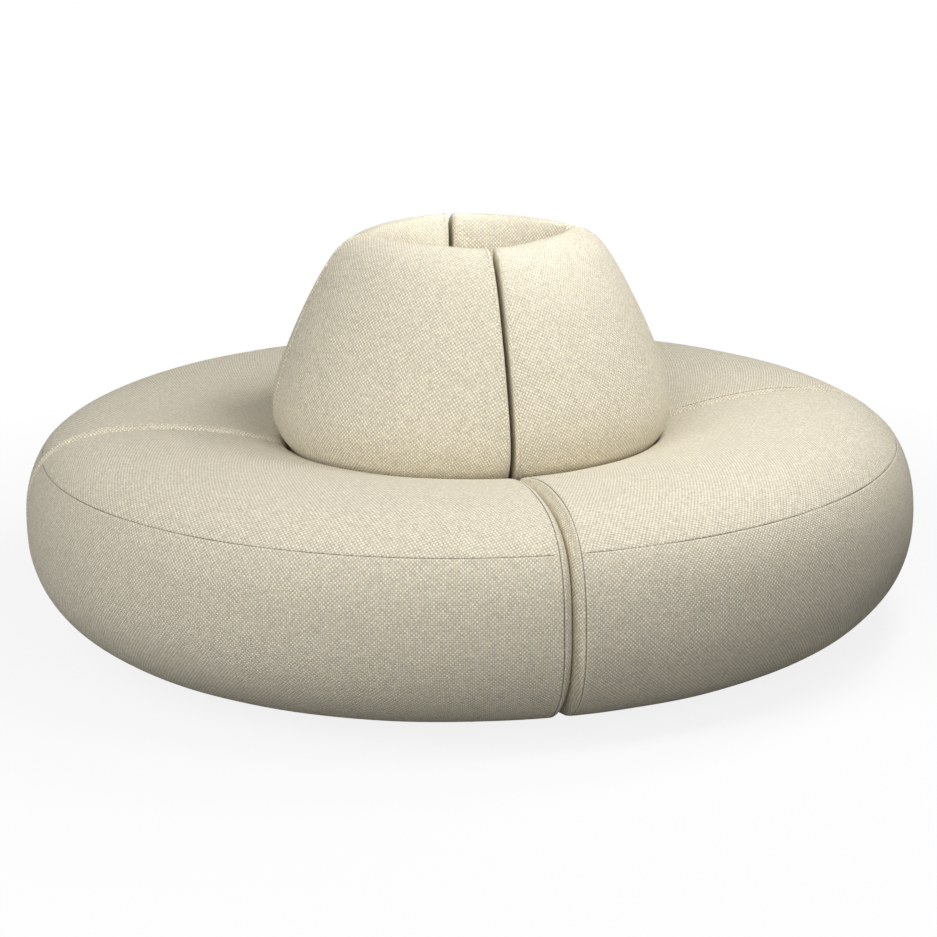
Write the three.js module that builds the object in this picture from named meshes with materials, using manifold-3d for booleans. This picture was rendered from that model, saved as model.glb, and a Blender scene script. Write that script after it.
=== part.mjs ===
// A round sofa of four like modules. Each is a quarter of a fat upholstered ring with its share of the back,
// and the four backs stand in a circle round an open well.
// Millimetres, +Z up. The origin is on the floor, on the axis of the ring.
// One module is drawn between the joint planes Y = 0 (its left end) and X = 0 (its right end), then turned.

import * as THREE from 'three';
import { mergeVertices } from 'three/addons/utils/BufferGeometryUtils.js';
import Module from 'manifold-3d';

const wasm = await Module();
wasm.setup();

// Whole sofa
const overallDiameter = 1900;
const seatHeight = 450;
const backHeight = 838;
const undersideHeight = 13;
const moduleGap = 0.3;
const touchGap = 0.3;
const overrun = 20;

// Seat cushion: a fat ring section, a little thinner towards the module's two ends. Its top slopes down to a round
// nose that ends close by the back.
const seatCrestInset = 256;
const seatNoseReach = 6;
const seatNoseDrop = 45;
const seatNoseRound = 42;
const seatNoseSlope = THREE.MathUtils.degToRad(18);
const seatCrown = 3;
const seatTopFullness = 3;
const seatFootFullness = 2.15;

// Back cushion: a rolled foot, a sloping flank, a round shoulder and an upright wall round the well
const backRestRadius = 330;
const backWidestRadius = 430;
const backWidestRise = 16;
const backRimWidth = 73;
const backShoulderDrop = 23;
const backRimRound = 16;
const backCrown = 3;
const backFootFullness = 2;
const wellWallThickness = 31;
const wellFlatness = 31;
const wellWallFoot = 16;

// Ends of the cushions. A seam runs round each end, set back from the end face, and the cloth rolls over in front of it.
// The seat's end swells on to meet the next module's; the backs stand apart.
const seatSeamSetback = 20;
const seatEndRoll = 11;
const seatEndRollTurn = THREE.MathUtils.degToRad(55);
const backSeamSetback = 13.6;
const backEndRoll = 8.4;

// Plywood frame inside the cushions
const endPadThickness = 24;
const frameInnerRadius = 236;
const sidePadThickness = 100;
const deckSetback = 50;
const baseSetback = 115;
const ribToeHeight = 130;
const ribShoulderDrop = 52;
const boardThickness = 18;
const seatPadThickness = 90;
const backPanelSetback = 6;
const backPanelThickness = 15;
const backPanelDrop = 78;

// Cloth cover under the base
const dustCoverThickness = 1.5;
const dustCoverInset = 7;

// Nylon glides
const glideRadius = 20;
const glideChamfer = 3;
const glideEdgeDistance = 35;
const innerGlideRadius = 300;
const outerGlideTurn = THREE.MathUtils.degToRad(12);

// Steel tongue on the right end and the wide receiver on the left end, both under the base
const connectorSetback = 195;
const tongueWidth = 40;
const tongueThickness = 3;
const tongueReach = 40;
const tongueRoot = 110;
const tongueTipTaper = 10;
const screwHoleRadius = 3;
const screwEdgeDistance = 25;
const receiverSheet = 2.5;
const receiverFlange = 25;
const receiverDepth = 50;
const receiverSetback = 6;
const receiverSideRoom = 5;
const receiverPlay = 0.5;

// How finely the round forms are cut
const cushionSteps = 12;
const frameSteps = 12;
const endRoundSteps = 3;
const glideSegments = 12;

// Places that follow from the sizes above. The middle of a frame board's straight facet stands facetShare as far
// from the axis as its ends.
const quarterTurn = Math.PI / 2;
const seatOuterRadius = overallDiameter / 2;
const seatCrestRadius = seatOuterRadius - seatCrestInset;
const seatMidHeight = (seatHeight + undersideHeight) / 2;
const seatHalfHeight = (seatHeight - undersideHeight) / 2;
const backWidestHeight = seatHeight + backWidestRise;
const backShoulderHeight = backHeight - backShoulderDrop;
const backPanelTop = backHeight - backPanelDrop;
const backPanelRadius = frameInnerRadius + backPanelSetback;
const wellCornerRadius = frameInnerRadius - wellWallThickness;
const wellMidRadius = wellCornerRadius - wellFlatness;
const backShoulderRadius = wellCornerRadius + backRimWidth;
const endFace = moduleGap / 2;
const frameEnd = endFace + endPadThickness + touchGap;
const facetShare = Math.cos(quarterTurn / 2 / frameSteps);
const ribRadius = seatOuterRadius - sidePadThickness;
const deckRadius = ribRadius - deckSetback;
const baseRadius = ribRadius - baseSetback;
const outerGlideRadius = baseRadius - glideEdgeDistance;
const connectorRadius = baseRadius - connectorSetback;
const baseBottom = undersideHeight + dustCoverThickness + touchGap;
const baseTop = baseBottom + boardThickness;
const deckHeight = seatHeight - seatPadThickness;
const deckBottom = deckHeight - boardThickness;
const ribShoulderHeight = deckBottom - ribShoulderDrop;
const hardwareTop = undersideHeight - touchGap;

const finishes = {
  fabric: { color: 0xd9d2bd, roughness: 0.95, metalness: 0 },
  plywood: { color: 0xc9a878, roughness: 0.7, metalness: 0 },
  dustCloth: { color: 0x2b2b2d, roughness: 0.95, metalness: 0 },
  nylon: { color: 0x1f1f20, roughness: 0.5, metalness: 0 },
  zincSteel: { color: 0xb4b8bb, roughness: 0.4, metalness: 1 },
};

const point = (radius, height) => new THREE.Vector2(radius, height);

// The inward normal of a counterclockwise outline's edge.
function inwardNormal(start, end) {
  const along = end.clone().sub(start).normalize();
  return point(-along.y, along.x);
}

// The outline drawn in by one distance all round, with mitred corners.
function drawnIn(outline, distance) {
  return outline.map((corner, i) => {
    const before = inwardNormal(outline.at(i - 1), corner);
    const after = inwardNormal(corner, outline[(i + 1) % outline.length]);
    const bisector = before.clone().add(after).normalize();
    return corner.clone().addScaledVector(bisector, distance / bisector.dot(before));
  });
}

// Points on a squarish ellipse from one turn to another. A fullness of 2 is a true ellipse.
function fullCurve(centre, halfWidth, halfHeight, fullness, startTurn, endTurn, steps) {
  const bulge = (value) => Math.sign(value) * Math.abs(value) ** (2 / fullness);
  return Array.from({ length: steps + 1 }, (_, i) => {
    const turn = startTurn + (endTurn - startTurn) * (i / steps);
    return point(centre.x + halfWidth * bulge(Math.cos(turn)), centre.y + halfHeight * bulge(Math.sin(turn)));
  });
}

// The turn of a point round the axis, for a station that keeps its distance from the nearer joint plane.
function turnAt(radius, station) {
  const firstTurn = Math.asin(station.offset / radius);
  return firstTurn + (quarterTurn - 2 * firstTurn) * station.turnShare;
}

// Sweeps a counterclockwise (radius, height) outline from one joint plane to the other.
// ends lists the stations at each end, from the joint plane inwards; mould may move each point.
function quarterSweep(outline, ends, steps, crown = 0, mould = (place) => place) {
  const innermost = ends.at(-1);
  const middle = Array.from({ length: steps - 1 }, (_, i) => {
    const turnShare = (i + 1) / steps;
    return { ...innermost, turnShare, inset: crown * (1 - Math.sin(Math.PI * turnShare)) };
  });
  const ending = (turnShare) => ends.map((end) => ({ ...end, turnShare, inset: end.inset + crown }));
  const stations = [...ending(0), ...middle, ...ending(1).reverse()];
  const positions = stations.flatMap((station) => drawnIn(outline, station.inset).flatMap((corner) => {
    const place = mould(corner, turnAt(corner.x, station));
    const turn = turnAt(place.x, station);
    return [place.x * Math.cos(turn), place.x * Math.sin(turn), place.y];
  }));
  const count = outline.length;
  const faces = [];
  for (let row = 0; row < stations.length - 1; row += 1) {
    for (let column = 0; column < count; column += 1) {
      const near = row * count + column;
      const far = row * count + ((column + 1) % count);
      faces.push([near, near + count, far], [far, near + count, far + count]);
    }
  }
  const lastRow = (stations.length - 1) * count;
  for (const [a, b, c] of THREE.ShapeUtils.triangulateShape(drawnIn(outline, stations[0].inset), [])) {
    faces.push([a, b, c], [lastRow + a, lastRow + c, lastRow + b]);
  }
  const geometry = new THREE.BufferGeometry();
  geometry.setAttribute('position', new THREE.Float32BufferAttribute(positions, 3));
  geometry.setIndex(faces.flat());
  return geometry;
}

// End stations of a cushion whose cloth rolls over in front of the seam, from the end face to the seam.
function rolledEnd(seamSetback, radius, rollTurn) {
  return Array.from({ length: endRoundSteps + 1 }, (_, i) => {
    const turn = rollTurn * (1 - i / endRoundSteps);
    return { offset: endFace + seamSetback - radius * Math.sin(turn), inset: radius * (1 - Math.cos(turn)) };
  });
}

// The same with an end face that swells on from the roll to the end face's plane, along a parabola.
function swollenEnd(seamSetback, radius, rollTurn) {
  const rolled = rolledEnd(seamSetback, radius, rollTurn);
  const [edge] = rolled;
  const standOff = edge.offset - endFace;
  const width = 2 * standOff * Math.tan(rollTurn);
  const swelling = [1, 0.5].map((share) => (
    { offset: endFace + standOff * (1 - share) ** 2, inset: edge.inset + width * share }
  ));
  return [...swelling, ...rolled];
}

const squareEnd = (offset) => [{ offset, inset: 0 }];

function solidOf(geometry) {
  const bare = geometry.clone();
  bare.deleteAttribute('normal');
  bare.deleteAttribute('uv');
  const merged = mergeVertices(bare);
  return new wasm.Manifold(new wasm.Mesh({
    numProp: 3,
    vertProperties: new Float32Array(merged.attributes.position.array),
    triVerts: new Uint32Array(merged.index.array),
  }));
}

function geometryOf(solid) {
  const mesh = solid.getMesh();
  const geometry = new THREE.BufferGeometry();
  geometry.setAttribute('position', new THREE.Float32BufferAttribute(mesh.vertProperties, 3));
  geometry.setIndex(Array.from(mesh.triVerts));
  return geometry;
}

const cutFrom = (whole, cutter) => geometryOf(solidOf(whole).subtract(solidOf(cutter)));

const rectangle = (innerRadius, bottom, outerRadius, top) => [
  point(innerRadius, bottom), point(outerRadius, bottom), point(outerRadius, top), point(innerRadius, top),
];

// Seat cushion: the ring section, with end walls that reach in over the ends of the frame.
function seatCushion() {
  const centre = point(seatCrestRadius, seatMidHeight);
  const outerHalf = seatOuterRadius - seatCrestRadius;
  const crest = point(seatCrestRadius, seatHeight);
  const noseTop = point(backWidestRadius - seatNoseReach, seatHeight - seatNoseDrop);
  const run = crest.x - noseTop.x;
  const crestHandleShare = 0.27;
  const noseHandleShare = 0.3;
  const downSlope = point(Math.cos(seatNoseSlope), Math.sin(seatNoseSlope));
  const slope = new THREE.CubicBezierCurve(
    crest,
    point(crest.x - run * crestHandleShare, crest.y),
    noseTop.clone().addScaledVector(downSlope, run * noseHandleShare),
    noseTop,
  );
  const noseCentre = point(noseTop.x + seatNoseRound * downSlope.y, noseTop.y - seatNoseRound * downSlope.x);
  const noseStart = quarterTurn + seatNoseSlope;
  const noseEnd = Math.PI - Math.asin((deckHeight - noseCentre.y) / seatNoseRound);
  const outline = [
    point(frameInnerRadius, undersideHeight),
    ...fullCurve(centre, outerHalf, seatHalfHeight, seatFootFullness, -quarterTurn, 0, 6),
    ...fullCurve(centre, outerHalf, seatHalfHeight, seatTopFullness, 0, quarterTurn, 6).slice(1),
    ...slope.getPoints(4).slice(1),
    ...fullCurve(noseCentre, seatNoseRound, seatNoseRound, 2, noseStart, noseEnd, 3).slice(1),
    point(frameInnerRadius, deckHeight),
  ];
  const ends = swollenEnd(seatSeamSetback, seatEndRoll, seatEndRollTurn);
  const whole = quarterSweep(outline, ends, cushionSteps, seatCrown);
  const hollow = [
    point(frameInnerRadius - overrun, undersideHeight - overrun),
    point(baseRadius + touchGap, undersideHeight - overrun),
    point(baseRadius + touchGap, baseTop),
    point(ribRadius + touchGap, ribToeHeight),
    point(ribRadius + touchGap, ribShoulderHeight),
    point(deckRadius + touchGap, deckHeight + touchGap),
    point(frameInnerRadius - overrun, deckHeight + touchGap),
  ];
  return cutFrom(whole, quarterSweep(hollow, squareEnd(frameEnd - touchGap), frameSteps));
}

// How far the wall round the well stands nearer the axis than at the module's ends. In plan it is one shallow arc.
function wallFlattening(turn) {
  const halfChord = wellCornerRadius * Math.SQRT1_2;
  const bow = wellMidRadius - halfChord;
  const arcRadius = (halfChord ** 2 + bow ** 2) / (2 * bow);
  const arcCentre = arcRadius - wellMidRadius;
  const fromMiddle = turn - quarterTurn / 2;
  const reach = Math.sqrt(arcRadius ** 2 - (arcCentre * Math.sin(fromMiddle)) ** 2);
  return wellCornerRadius - (reach - arcCentre * Math.cos(fromMiddle));
}

// Back cushion: it stands on the deck and its upright wall goes down inside the frame.
function backCushion() {
  const shoulder = point(backShoulderRadius, backShoulderHeight);
  const widest = point(backWidestRadius, backWidestHeight);
  const foot = deckHeight + touchGap;
  const wallOuter = frameInnerRadius * facetShare - touchGap;
  const flankRise = backShoulderHeight - backWidestHeight;
  const flankRun = backWidestRadius - backShoulderRadius;
  const lowHandleShare = 0.193;
  const highHandleShares = { run: 0.342, rise: 0.128 };
  const flank = new THREE.CubicBezierCurve(
    widest,
    point(backWidestRadius, backWidestHeight + flankRise * lowHandleShare),
    point(shoulder.x + flankRun * highHandleShares.run, shoulder.y - flankRise * highHandleShares.rise),
    shoulder,
  );
  const rimInner = wellCornerRadius + backRimRound;
  const crestRise = backHeight - backShoulderHeight;
  const crestRun = crestRise * (highHandleShares.run * flankRun) / (highHandleShares.rise * flankRise);
  const crest = new THREE.QuadraticBezierCurve(
    shoulder,
    point(shoulder.x - crestRun, backHeight),
    point(rimInner, backHeight),
  );
  const rimCentre = point(rimInner, backHeight - backRimRound);
  const outline = [
    point(wellCornerRadius, wellWallFoot),
    point(wallOuter, wellWallFoot),
    point(wallOuter, foot),
    ...fullCurve(
      point(backRestRadius, backWidestHeight),
      backWidestRadius - backRestRadius,
      backWidestHeight - foot,
      backFootFullness,
      -quarterTurn,
      0,
      4,
    ),
    ...flank.getPoints(7).slice(1),
    ...crest.getPoints(3).slice(1),
    ...fullCurve(rimCentre, backRimRound, backRimRound, 2, quarterTurn, Math.PI, 3).slice(1),
  ];
  // The wall follows the well all the way down, and the flank leans into that shape towards the rim.
  const mould = (place, turn) => {
    const onWall = place.x < (wellCornerRadius + wallOuter) / 2;
    const rise = Math.max(0, (place.y - backWidestHeight) / (backHeight - backWidestHeight));
    const followShare = onWall ? 1 : rise ** 1.5;
    return point(place.x - wallFlattening(turn) * followShare, place.y);
  };
  const ends = rolledEnd(backSeamSetback, backEndRoll, quarterTurn);
  const whole = quarterSweep(outline, ends, cushionSteps, backCrown, mould);
  const slot = rectangle(
    backPanelRadius - touchGap,
    foot - overrun,
    backPanelRadius + backPanelThickness + touchGap,
    backPanelTop + touchGap,
  );
  return cutFrom(whole, quarterSweep(slot, squareEnd(frameEnd - touchGap), frameSteps));
}

// Flat boards of the frame, cut as quarter rings
function baseBoard() {
  return quarterSweep(rectangle(frameInnerRadius, baseBottom, baseRadius, baseTop), squareEnd(frameEnd), frameSteps);
}

function seatDeck() {
  return quarterSweep(rectangle(frameInnerRadius, deckBottom, deckRadius, deckHeight), squareEnd(frameEnd), frameSteps);
}

function dustCover() {
  const outline = rectangle(
    frameInnerRadius + dustCoverInset,
    undersideHeight,
    baseRadius - dustCoverInset,
    undersideHeight + dustCoverThickness,
  );
  return quarterSweep(outline, squareEnd(frameEnd + dustCoverInset), frameSteps);
}

function backPanel() {
  const outline = rectangle(
    backPanelRadius,
    deckHeight + touchGap,
    backPanelRadius + backPanelThickness,
    backPanelTop,
  );
  return quarterSweep(outline, squareEnd(frameEnd), frameSteps);
}

// Upright rib between the base and the deck, with its foot and shoulder cut back. Its thickness is centred on Y = 0.
function rib() {
  const farFace = frameEnd + boardThickness;
  const reach = Math.sqrt((ribRadius * facetShare) ** 2 - farFace ** 2);
  const cutBack = ribRadius - reach;
  const shape = new THREE.Shape([
    point(frameInnerRadius, baseTop + touchGap),
    point(baseRadius - cutBack, baseTop + touchGap),
    point(reach, ribToeHeight),
    point(reach, ribShoulderHeight),
    point(deckRadius - cutBack, deckBottom - touchGap),
    point(frameInnerRadius, deckBottom - touchGap),
  ]);
  const plate = new THREE.ExtrudeGeometry(shape, { depth: boardThickness, bevelEnabled: false });
  return plate.rotateX(quarterTurn).translate(0, boardThickness / 2, 0);
}

// Glide: a turned pad with a chamfered foot
function glide() {
  const profile = [
    point(0, 0),
    point(glideRadius - glideChamfer, 0),
    point(glideRadius, glideChamfer),
    point(glideRadius, hardwareTop),
    point(0, hardwareTop),
  ];
  return new THREE.LatheGeometry(profile, glideSegments).rotateX(quarterTurn);
}

// Tongue: a flat bar that crosses the right end's joint plane into the next module's receiver
function tongue() {
  const halfWidth = tongueWidth / 2;
  const shape = new THREE.Shape([
    point(tongueRoot, -halfWidth),
    point(tongueRoot, halfWidth),
    point(tongueTipTaper - tongueReach, halfWidth),
    point(-tongueReach, halfWidth - tongueTipTaper),
    point(-tongueReach, tongueTipTaper - halfWidth),
    point(tongueTipTaper - tongueReach, -halfWidth),
  ]);
  for (const along of [tongueRoot - screwEdgeDistance, frameEnd + screwEdgeDistance]) {
    shape.holes.push(new THREE.Path().absarc(along, 0, screwHoleRadius, 0, 2 * Math.PI));
  }
  const bar = new THREE.ExtrudeGeometry(shape, { depth: tongueThickness, bevelEnabled: false, curveSegments: 4 });
  return bar.translate(0, connectorRadius, hardwareTop - tongueThickness);
}

// Receiver: a shallow hat section. Its mouth is wide enough for the tongue to leave it slantwise.
function receiver() {
  const mouthHalf = tongueWidth / 2 + tongueReach + receiverSideRoom;
  const mouthFloor = hardwareTop - tongueThickness - receiverPlay;
  const legHalf = mouthHalf + receiverSheet;
  const flangeHalf = legHalf + receiverFlange;
  const flangeBottom = hardwareTop - receiverSheet;
  const rightHalf = [
    point(legHalf, mouthFloor - receiverSheet),
    point(legHalf, flangeBottom),
    point(flangeHalf, flangeBottom),
    point(flangeHalf, hardwareTop),
    point(mouthHalf, hardwareTop),
    point(mouthHalf, mouthFloor),
  ];
  const leftHalf = rightHalf.map((corner) => point(-corner.x, corner.y)).reverse();
  const plate = new THREE.ExtrudeGeometry(new THREE.Shape([...rightHalf, ...leftHalf]), {
    depth: receiverDepth,
    bevelEnabled: false,
  });
  return plate.rotateX(quarterTurn).translate(connectorRadius, receiverSetback + receiverDepth, 0);
}

const shapes = {
  seatCushion: seatCushion(),
  backCushion: backCushion(),
  baseBoard: baseBoard(),
  seatDeck: seatDeck(),
  dustCover: dustCover(),
  backPanel: backPanel(),
  rib: rib(),
  glide: glide(),
  tongue: tongue(),
  receiver: receiver(),
};

function piece(name, shape, finish, x = 0, y = 0, turn = 0) {
  const mesh = new THREE.Mesh(shape, new THREE.MeshStandardMaterial(finishes[finish]));
  mesh.name = name;
  mesh.position.set(x, y, 0);
  mesh.rotation.z = turn;
  return mesh;
}

function glideAt(name, radius, turn) {
  return piece(name, shapes.glide, 'nylon', radius * Math.cos(turn), radius * Math.sin(turn));
}

// One module. Left and right are as seen by someone who faces it from outside the ring.
function sofaModule(name, startTurn) {
  const module = new THREE.Group();
  const ribOffset = frameEnd + boardThickness / 2;
  const middleTurn = quarterTurn / 2;
  module.add(
    piece(`seat_cushion_${name}`, shapes.seatCushion, 'fabric'),
    piece(`back_cushion_${name}`, shapes.backCushion, 'fabric'),
    piece(`base_board_${name}`, shapes.baseBoard, 'plywood'),
    piece(`seat_deck_${name}`, shapes.seatDeck, 'plywood'),
    piece(`back_panel_${name}`, shapes.backPanel, 'plywood'),
    piece(`left_rib_${name}`, shapes.rib, 'plywood', 0, ribOffset, 0),
    piece(`middle_rib_${name}`, shapes.rib, 'plywood', 0, 0, middleTurn),
    piece(`right_rib_${name}`, shapes.rib, 'plywood', ribOffset, 0, quarterTurn),
    piece(`dust_cover_${name}`, shapes.dustCover, 'dustCloth'),
    glideAt(`left_glide_${name}`, outerGlideRadius, outerGlideTurn),
    glideAt(`middle_glide_${name}`, outerGlideRadius, middleTurn),
    glideAt(`right_glide_${name}`, outerGlideRadius, quarterTurn - outerGlideTurn),
    glideAt(`inner_glide_${name}`, innerGlideRadius, middleTurn),
    piece(`joining_tongue_${name}`, shapes.tongue, 'zincSteel'),
    piece(`joining_receiver_${name}`, shapes.receiver, 'zincSteel'),
  );
  module.rotation.z = startTurn;
  return module;
}

const sofa = new THREE.Group();
['front_right', 'rear_right', 'rear_left', 'front_left'].forEach((name, i) => {
  sofa.add(sofaModule(name, (i - 1) * quarterTurn));
});

export default sofa;
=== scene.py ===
"""Looks of a round modular sofa: its upholstery with seams and stitches, and the finishes of its frame."""

import logging
import math
from collections.abc import Callable, Sequence
from dataclasses import dataclass, field
from enum import Enum
from functools import partial

import bpy
import numpy as np
from bpy.types import ID, Material, Mesh, Node, NodeSocket, NodeTree, Object
from mathutils import Matrix, Vector


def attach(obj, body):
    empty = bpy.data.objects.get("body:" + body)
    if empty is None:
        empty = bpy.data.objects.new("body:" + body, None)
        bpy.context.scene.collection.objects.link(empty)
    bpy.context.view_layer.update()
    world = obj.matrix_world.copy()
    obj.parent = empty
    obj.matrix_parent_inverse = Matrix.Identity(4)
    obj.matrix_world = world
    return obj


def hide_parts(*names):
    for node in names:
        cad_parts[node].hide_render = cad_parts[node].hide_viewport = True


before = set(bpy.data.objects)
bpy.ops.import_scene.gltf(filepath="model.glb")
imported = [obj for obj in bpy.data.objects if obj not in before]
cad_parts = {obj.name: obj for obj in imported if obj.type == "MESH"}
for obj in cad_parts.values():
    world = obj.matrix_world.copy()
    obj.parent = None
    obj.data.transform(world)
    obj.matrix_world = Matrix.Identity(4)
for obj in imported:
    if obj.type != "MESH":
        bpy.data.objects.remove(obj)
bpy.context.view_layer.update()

LOGGER = logging.getLogger("sofa")
MM = 0.001
QUARTER_TURN = math.pi / 2
CLOTH_COORDINATES = "cloth"
# Name of the cover's attribute that holds the painted shade of its seams
SEAM_SHADE = "seam_shade"

# How far from a seam the grid of a cover has a line, so that the seam is drawn as a narrow fold
SEAM_STEPS = tuple(step * MM for step in (0.8, 1.7, 3.0, 6.0))

# Cloth nearer than this to a seam is held by it
HELD_BY_SEAM = 0.6 * MM

# Places on the cloth that are nearer than this to each other count as one
HAIR = 0.1 * MM

# Faces that meet at a sharper bend than this show an edge between them
SHARP_BEND = math.radians(55)

Point = tuple[float, float]

# Gives the radius of points that are drawn at one radius, height and turn
Mould = Callable[[np.ndarray, np.ndarray, np.ndarray], np.ndarray]


class Place(Enum):
    """The four modules. The value is how many quarter turns about +Z take the drawn module there."""

    FRONT_RIGHT = -1
    REAR_RIGHT = 0
    REAR_LEFT = 1
    FRONT_LEFT = 2

    @property
    def label(self) -> str:
        """The module's name in the frame."""
        return self.name.lower()


class Panel(Enum):
    """The cut pieces of cloth that a cover is sewn from."""

    END = 0
    SIDE = 1
    TOP = 2
    FLANK = 3
    WALL = 4


@dataclass(frozen=True)
class Row:
    """One row of a cover's grid, across the module's sweep.

    Args:
        offset: distance from the nearer joint plane.
        inset: how far the outline is drawn in there.
        share: how far round the module the row stands, from 0 at its left seam to 1 at its right one.
        beyond: distance past the end seam along the cloth, 0 between the two end seams.
    """

    offset: float
    inset: float
    share: float
    beyond: float


def smooth_step(values: np.ndarray, low: float, high: float) -> np.ndarray:
    """Rises smoothly from 0 at low to 1 at high.

    Args:
        values: the numbers to grade.
        low: where the rise starts.
        high: where it ends.

    Returns:
        The graded numbers.
    """
    share = np.clip((values - low) / (high - low), 0, 1)
    return share * share * (3 - 2 * share)


def full_curve(
    centre: Point, halves: Point, fullness: float, start_turn: float, end_turn: float, steps: int = 200
) -> np.ndarray:
    """Points on a squarish ellipse.

    Args:
        centre: its middle, as radius and height.
        halves: half its width and half its height.
        fullness: 2 for a true ellipse, more for squarer corners.
        start_turn: where it starts, in radians from the outward direction.
        end_turn: where it ends.
        steps: how many chords it has.

    Returns:
        An array of radius and height.
    """
    turns = np.linspace(start_turn, end_turn, steps + 1)
    across = np.sign(np.cos(turns)) * np.abs(np.cos(turns)) ** (2 / fullness)
    up = np.sign(np.sin(turns)) * np.abs(np.sin(turns)) ** (2 / fullness)
    return np.stack([centre[0] + halves[0] * across, centre[1] + halves[1] * up], axis=1)


def bezier(points: Sequence[Point], steps: int = 200) -> np.ndarray:
    """Points on a Bezier curve of any degree.

    Args:
        points: its ends and handles.
        steps: how many chords it has.

    Returns:
        An array of radius and height.
    """
    share = np.linspace(0, 1, steps + 1)[:, None]
    levels = [np.array(point)[None, :] for point in points]
    while len(levels) > 1:
        levels = [before * (1 - share) + after * share for before, after in zip(levels, levels[1:])]
    return levels[0]


def lengths_along(line: np.ndarray) -> np.ndarray:
    """The distance from the start of a line to each of its points."""
    return np.concatenate([[0.0], np.cumsum(np.linalg.norm(np.diff(line, axis=0), axis=-1))])


def points_at(line: np.ndarray, places: np.ndarray) -> np.ndarray:
    """The points of a line at given distances from its start."""
    return np.stack([np.interp(places, lengths_along(line), axis) for axis in line.T], axis=-1)


def spaced(length: float, spacing: float, seams: Sequence[float] = ()) -> np.ndarray:
    """Places along a length, evenly spaced but closer together beside each seam.

    Args:
        length: the whole length.
        spacing: the even distance.
        seams: where the seams lie.

    Returns:
        The places in order, from 0 to the whole length.
    """
    kept = {0.0, length}
    for seam in seams:
        beside = [seam + side * step for step in SEAM_STEPS for side in (-1, 1)]
        kept.update(place for place in [seam, *beside] if 0 <= place <= length)
    marks = sorted(kept)
    places = [marks[0]]
    for start, end in zip(marks, marks[1:]):
        count = max(1, round((end - start) / spacing))
        places += [start + (end - start) * i / count for i in range(1, count + 1)]
    return np.array(places)


def thinned(places: np.ndarray, spacing: float, kept: Sequence[float]) -> np.ndarray:
    """Picks about evenly spaced members of a row of places.

    Args:
        places: the places in order.
        spacing: the least distance between two that are picked.
        kept: places that are always picked, apart from the ends.

    Returns:
        The positions in the row of the ones picked.
    """
    always = {0, len(places) - 1} | {int(np.argmin(np.abs(places - place))) for place in kept}
    chosen = [0]
    for i in range(1, len(places)):
        if i in always:
            while chosen[-1] not in always and places[i] - places[chosen[-1]] < spacing / 2:
                chosen.pop()
            chosen.append(i)
        elif places[i] - places[chosen[-1]] >= spacing:
            chosen.append(i)
    return np.array(chosen)


def new_object(name: str, data: ID) -> Object:
    """Puts a new object into the scene.

    Args:
        name: its name.
        data: its mesh, lamp or camera.

    Returns:
        The object.
    """
    piece = bpy.data.objects.new(name, data)
    bpy.context.scene.collection.objects.link(piece)
    return piece


def aim(piece: Object, direction: Vector) -> None:
    """Turns a camera or a lamp to face one way."""
    piece.rotation_mode = "QUATERNION"
    piece.rotation_quaternion = direction.to_track_quat("-Z", "Y")


def skin(name: str, points: np.ndarray) -> Mesh:
    """Makes a mesh of closed skins, each over a grid of rows that run round it.

    Args:
        name: the mesh's name.
        points: the grids, by row and by place round it.

    Returns:
        The mesh: the cells of the grids row by row, then the faces that close the ends.
    """
    index = np.arange(points[..., 0].size).reshape(points.shape[:-1])
    after = np.roll(index, -1, axis=-1)
    corners = [index[..., :-1, :], index[..., 1:, :], after[..., 1:, :], after[..., :-1, :]]
    cells = np.stack(corners, axis=-1).reshape(-1, 4)
    ends = np.stack([index[..., 0, :], index[..., -1, ::-1]], axis=-2).reshape(-1, index.shape[-1])
    mesh = bpy.data.meshes.new(name)
    mesh.from_pydata(points.reshape(-1, 3).tolist(), [], cells.tolist() + ends.tolist())
    return mesh


class Outline:
    """A closed counterclockwise section in radius and height."""

    def __init__(self, points: np.ndarray) -> None:
        """Keeps the points and works out their mitres.

        Args:
            points: the corners in order.
        """
        self.points = points
        along = np.roll(points, -1, axis=0) - points
        along /= np.linalg.norm(along, axis=1, keepdims=True)
        after = np.stack([-along[:, 1], along[:, 0]], axis=1)
        before = np.roll(after, 1, axis=0)
        bisector = before + after
        bisector /= np.linalg.norm(bisector, axis=1, keepdims=True)
        self.mitre = bisector / np.sum(bisector * before, axis=1, keepdims=True)

    def drawn_in(self, distance: float) -> np.ndarray:
        """The section drawn in by one distance all round."""
        return self.points + self.mitre * distance


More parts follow.
